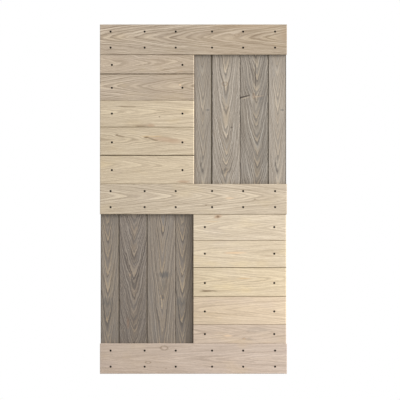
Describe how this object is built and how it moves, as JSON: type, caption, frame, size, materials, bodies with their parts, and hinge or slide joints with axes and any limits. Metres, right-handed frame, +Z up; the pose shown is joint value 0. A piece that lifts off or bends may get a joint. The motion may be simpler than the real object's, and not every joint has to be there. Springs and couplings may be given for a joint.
{
  "type": "sliding barn door leaf",
  "caption": "Planked sliding door leaf: rails and stepped fields of level planks screwed over a panel of upright tongue-and-groove boards.",
  "frame": {"origin": "on the front face of the top rail, at the middle of its length and height, where the hanging straps are bolted on", "axes": "+X to the right seen from the front, +Y into the door, +Z up"},
  "size_m": [1.142, 0.036, 2.134],
  "materials": {
    "pale_wood": "brushed softwood with a thin whitened stain, matt",
    "grey_wood": "brushed softwood with a weathered grey stain, matt",
    "black_screw": "dull brown-black coated screw heads"
  },
  "bodies": {
    "root": {"top_rail": "pale_wood", "middle_rail": "pale_wood", "bottom_rail": "pale_wood", "upper_plank_1": "pale_wood", "upper_plank_2": "pale_wood", "upper_plank_3": "pale_wood", "upper_plank_4": "pale_wood", "upper_plank_5": "pale_wood", "lower_plank_1": "pale_wood", "lower_plank_2": "pale_wood", "lower_plank_3": "pale_wood", "lower_plank_4": "pale_wood", "lower_plank_5": "pale_wood", "back_board_1": "grey_wood", "back_board_2": "grey_wood", "back_board_3": "grey_wood", "back_board_4": "grey_wood", "back_board_5": "grey_wood", "back_board_6": "grey_wood", "back_board_7": "grey_wood", "back_board_8": "grey_wood"}
  },
  "joints": []
}
